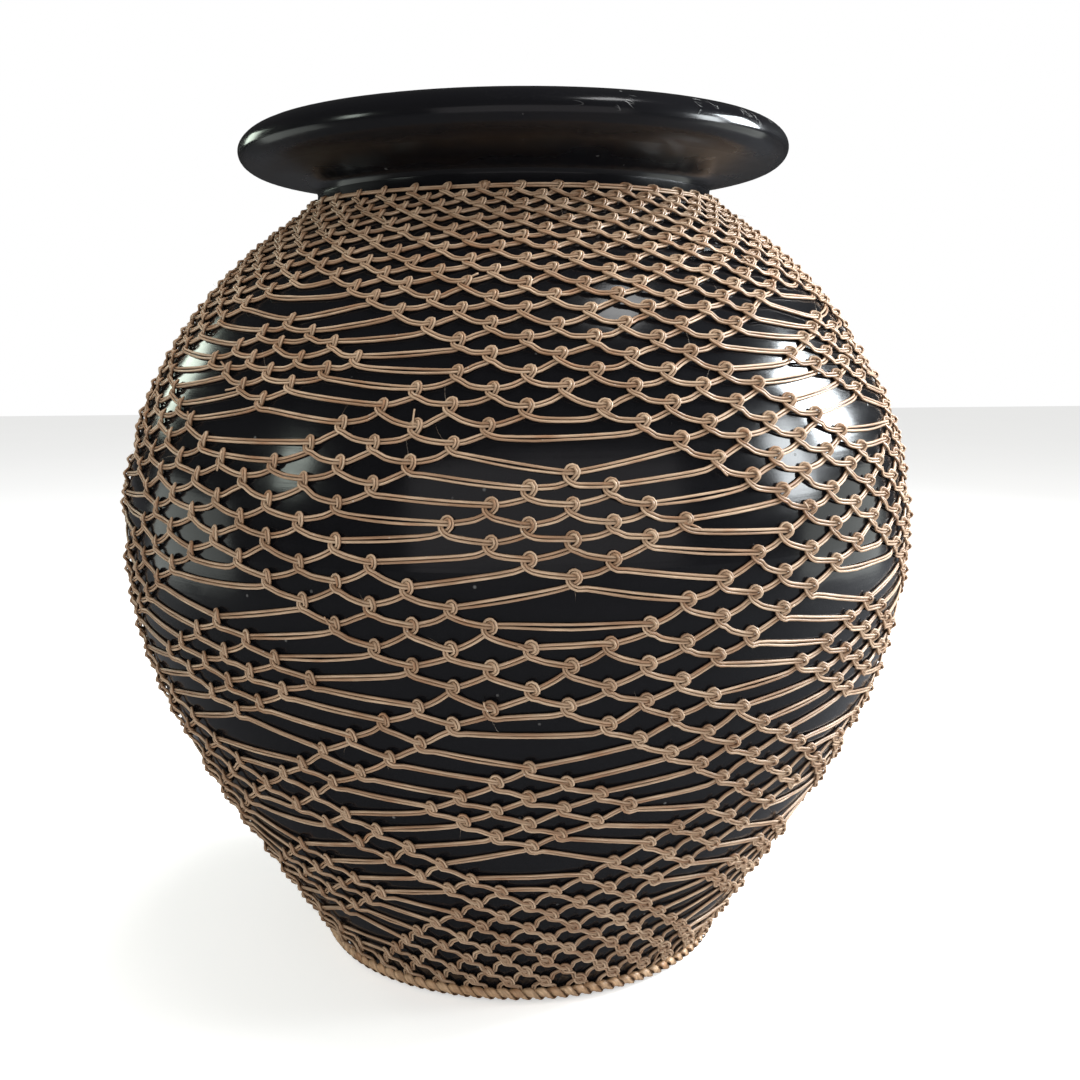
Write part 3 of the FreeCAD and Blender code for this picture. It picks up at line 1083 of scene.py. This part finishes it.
@dataclass
class LooseEnds:
    """What hand work leaves on the net: cut ends of canes at some knots, and fine fibres at others."""

    plan: NetPlan
    tail_every: int = 13
    hair_every: int = 6
    tail_radius: float = 0.55 * MM
    hair_radius: float = 0.07 * MM
    # where a strand leaves its knot: across, up and off the clay
    root: tuple[float, float, float] = (-1.2 * MM, -1.5 * MM, 2.1 * MM)

    def strands(self, every: int, kind: int, shortest: float, longest: float, radius: float, corners: int,
                rise: float) -> Surface:
        """Short bent strands that start at knots: each runs from its knot in its own direction along the
        clay, curves sideways with the square of its length, and rises steadily.

        Args:
            every: one knot in this many has a strand.
            kind: number that keeps the two kinds of strand apart.
            shortest: shortest length.
            longest: longest length.
            radius: radius at the knot.
            corners: corners of the section.
            rise: how far the end stands off the clay, as a share of the length.

        Returns:
            All the strands.
        """
        found, t = [], np.linspace(0.0, 1.0, 5)
        for k in range(1, self.plan.courses):
            for place, turn, s in self.plan.knots(k):
                seed = place + 61.0 * k + 1000.0 * kind
                if (uneven(seed, 7.0) + 1) / 2 > 1.0 / every:
                    continue
                length = shortest + (longest - shortest) * (uneven(seed, 8.0) + 1) / 2
                heading = np.pi * uneven(seed, 9.0)
                bend = 0.5 * uneven(seed, 10.0)
                run, off = length * t, bend * length * t**2
                across = self.root[0] + run * np.cos(heading) - off * np.sin(heading)
                up = self.root[1] + run * np.sin(heading) + off * np.cos(heading)
                lift = self.root[2] + rise * (0.6 + 0.4 * uneven(seed, 11.0)) * run
                angle = turn + np.degrees(across / self.plan.skin.radius_at(s))
                points = self.plan.skin.place(angle, s + up, lift)
                thick = radius * (1.0 - (0.9 if kind else 0.1) * t)
                found.append(free_cane(points, self.plan.skin.normal(angle, s + up), thick, corners,
                                       0.5 + 0.5 * uneven(seed, 12.0)))
        return join(found)

    def build(self, tail_material: bpy.types.Material, hair_material: bpy.types.Material) -> None:
        """Makes the cut ends and the fibres.

        Args:
            tail_material: the cane finish.
            hair_material: the finish of bare fibres.
        """
        tails = self.strands(self.tail_every, 0, 3 * MM, 9 * MM, self.tail_radius, 5, 0.25)
        make_piece("cut_ends", tails, tail_material)
        hairs = self.strands(self.hair_every, 1, 4 * MM, 12 * MM, self.hair_radius, 3, 0.6)
        make_piece("loose_fibres", hairs, hair_material)


# ---------------------------------------------------------------- stage


@dataclass(frozen=True)
class SoftBox:
    """A soft light: where it hangs, where it points, its size, power and tint, and whether gloss shows it."""

    name: str
    place: tuple[float, float, float]
    aim: tuple[float, float, float]
    size: tuple[float, float]
    watts: float
    tint: tuple[float, float, float] = (1.0, 1.0, 1.0)
    mirrored: bool = True

    def hang(self) -> None:
        """Hangs the light."""
        data = bpy.data.lights.new(self.name, "AREA")
        data.shape = "RECTANGLE"
        data.size, data.size_y = self.size
        data.energy = self.watts
        data.color = self.tint
        light = bpy.data.objects.new(self.name, data)
        light.visible_glossy = self.mirrored
        light.location = self.place
        light.rotation_euler = (Vector(self.aim) - Vector(self.place)).to_track_quat("-Z", "Y").to_euler()
        bpy.context.scene.collection.objects.link(light)


@dataclass
class Stage:
    """Pale floor, soft lights and the camera."""

    floor_size: float = 14.0
    floor_colour: Colour = (0.86, 0.86, 0.85, 1.0)
    floor_mirrored: Colour = (0.07, 0.07, 0.075, 1.0)
    floor_lighting: Colour = (0.50, 0.49, 0.48, 1.0)
    floor_glow: float = 0.60
    fleck_colour: Colour = (0.7, 0.7, 0.7, 1.0)
    sky_colour: Colour = (1.0, 1.0, 1.0, 1.0)
    sky_seen: float = 1.0
    sky_lighting: float = 0.36
    sky_mirrored: float = 0.035
    eye: tuple[float, float, float] = (0.0, -0.800, 0.361)
    tilt: float = 0.145
    lean: float = -0.0096
    lens: float = 43.3
    shift: float = 0.0214
    lights: tuple[SoftBox, ...] = (
        SoftBox("window", (1.54, 0.31, 0.97), (0.15, -0.15, 0.33), (0.50, 0.62), 56.0, (0.90, 0.96, 1.0)),
        SoftBox("window_side", (1.67, -0.3, 0.74), (0.1, -0.13, 0.45), (0.36, 0.55), 14.0, (0.92, 0.97, 1.0)),
        SoftBox("sky_panel", (0.45, -0.05, 2.4), (0.0, 0.0, 0.2), (1.6, 1.3), 42.0, mirrored=False),
        SoftBox("front_fill", (-0.5, -2.4, 1.3), (0.0, 0.0, 0.25), (1.2, 1.0), 10.0, mirrored=False),
        SoftBox("skylight", (0.75, -0.35, 2.1), (0.1, -0.15, 0.38), (0.5, 0.3), 4.0),
        SoftBox("left_pane", (-1.45, -0.75, 0.85), (-0.1, -0.2, 0.31), (0.26, 0.34), 3.0, (0.90, 1.0, 0.90)),
        SoftBox("garden", (-1.2, 0.9, 0.75), (-0.17, -0.12, 0.35), (0.35, 0.4), 2.5, (0.88, 1.0, 0.86)),
        SoftBox("left_ground", (-1.25, 0.15, 0.03), (-0.16, 0.0, 0.46), (0.9, 0.9), 3.5, (0.93, 1.0, 0.93)),
        SoftBox("right_ground", (1.25, 0.15, 0.03), (0.16, 0.0, 0.46), (0.9, 0.9), 4.0, (0.95, 1.0, 0.95)),
        SoftBox("room_front", (0.30, -2.20, 0.55), (0.0, -0.2, 0.30), (3.2, 1.8), 11.0, (1.0, 0.95, 0.97)),
    )

    def lay_floor(self) -> None:
        """Lays the floor: one flat square in a plain pale finish with a faint fleck, darker where the pot is
        lit by it or mirrors it than where it is seen."""
        half = self.floor_size / 2
        mesh = bpy.data.meshes.new("floor")
        corners = [(-half, -half, 0), (half, -half, 0), (half, half, 0), (-half, half, 0)]
        mesh.from_pydata(corners, [], [(0, 1, 2, 3)])
        material, w = new_material("pale_floor")
        fleck = w.noise(w.add("TexCoord").outputs["Object"], 3.0, 2.0)
        colour = w.blend(w.spread(fleck, 0.3, 0.7, 0.0, 0.04), self.floor_colour, self.fleck_colour)
        path = w.add("LightPath")
        colour = w.blend(path.outputs["Is Diffuse Ray"], colour, self.floor_lighting)
        colour = w.blend(path.outputs["Is Glossy Ray"], colour, self.floor_mirrored)
        shader = w.add("BsdfPrincipled", {"Base Color": colour, "Roughness": 0.9, "Emission Color": colour,
                                          "Emission Strength": self.floor_glow})
        w.finish(shader)
        mesh.materials.append(material)
        floor = bpy.data.objects.new("floor", mesh)
        bpy.context.scene.collection.objects.link(floor)

    def light_room(self) -> None:
        """Hangs the lights in a pale room."""
        for light in self.lights:
            light.hang()
        world = bpy.data.worlds.new("pale_room")
        world.use_nodes = True
        world.node_tree.nodes.clear()
        w = Wiring(world.node_tree)
        strengths = (self.sky_seen, self.sky_lighting, self.sky_mirrored)
        skies = [w.add("Background", {"Color": self.sky_colour, "Strength": power}) for power in strengths]
        seen, lit, mirrored = (sky.outputs[0] for sky in skies)
        path = w.add("LightPath")
        room = w.add("MixShader", {0: path.outputs["Is Glossy Ray"], 1: lit, 2: mirrored})
        mixed = w.add("MixShader", {0: path.outputs["Is Camera Ray"], 1: room.outputs[0], 2: seen})
        w.tree.links.new(mixed.outputs[0], w.add("OutputWorld").inputs[0])
        bpy.context.scene.world = world

    def set_camera(self) -> None:
        """Sets the camera a little above the belly, looking slightly down."""
        data = bpy.data.cameras.new("camera")
        data.lens = self.lens
        data.shift_x = self.shift
        camera = bpy.data.objects.new("camera", data)
        camera.location = self.eye
        turn = Matrix.Rotation(math.pi / 2 - self.tilt, 4, "X") @ Matrix.Rotation(self.lean, 4, "Z")
        camera.rotation_euler = turn.to_euler()
        bpy.context.scene.collection.objects.link(camera)
        bpy.context.scene.camera = camera
        bpy.context.scene.view_settings.view_transform = "Standard"

    def build(self) -> None:
        """Sets up the whole stage."""
        self.lay_floor()
        self.light_room()
        self.set_camera()


def dress_clay(material: bpy.types.Material) -> None:
    """Gives the imported clay body its lacquer.

    Args:
        material: the lacquer.
    """
    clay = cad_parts["clay_vessel"]
    for slot in clay.material_slots:
        slot.material = material
    log.info("clay_vessel, %s: %d faces, lacquered", Slot.CLAY.value, len(clay.data.polygons))


def main() -> None:
    """Builds the pieces in order, from the clay outwards, and then the stage."""
    logging.basicConfig(level=logging.INFO, format="%(name)s: %(message)s")
    specks, scratches, grain = speck_group(), scratch_group(), grain_and_shade_group()
    finishes = (CaneFinish("split_cane"),
                CaneFinish("flat_splint", pale=(0.66, 0.45, 0.27, 1.0), tan=(0.50, 0.30, 0.16, 1.0)),
                CaneFinish("bare_fibre", pale=(0.80, 0.72, 0.60, 1.0), tan=(0.55, 0.42, 0.30, 1.0)))
    cane, splint, fibre = (finish.build(grain, specks) for finish in finishes)
    dress_clay(LacquerFinish("black_lacquer").build(specks, scratches))
    skin = ClaySkin()
    plan = NetPlan(skin)
    pair = CanePair(skin)
    NeckHoop(plan, pair).build(cane)
    course = NetCourse(plan, pair)
    for k in range(plan.courses):
        course.build(k, cane)
    FootPlait(skin).build(splint)
    LooseEnds(plan).build(cane, fibre)
    Stage().build()


if __name__ == "__main__":
    main()
